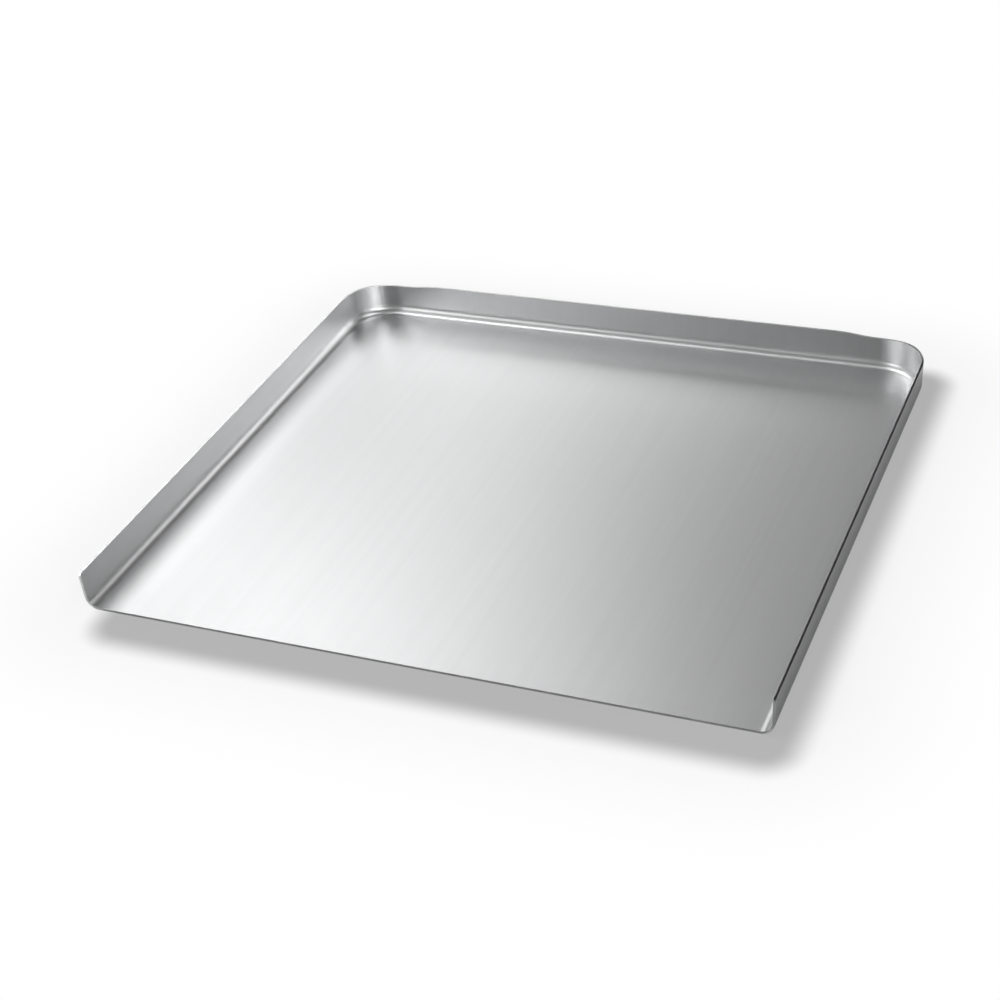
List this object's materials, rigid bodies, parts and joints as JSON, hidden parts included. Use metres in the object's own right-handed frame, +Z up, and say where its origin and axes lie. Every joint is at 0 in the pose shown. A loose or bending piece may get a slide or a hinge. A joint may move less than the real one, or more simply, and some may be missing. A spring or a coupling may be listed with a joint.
{
  "type": "cookie sheet",
  "caption": "Flat rectangular baking sheet of satin aluminium with low walls on the left, back and right, rounded rear corners and a plain open front edge.",
  "frame": {"origin": "middle of the sheet's outline, on the plane of the floor's underside", "axes": "+Z up, +X to the right seen from the open front, +Y from the open front towards the back wall"},
  "size_m": [0.457, 0.419, 0.0264],
  "materials": {
    "satin_aluminium": "satin, uncoated, with a fine rolling grain from front to back"
  },
  "bodies": {
    "root": {"pressed_sheet": "satin_aluminium"}
  },
  "joints": []
}
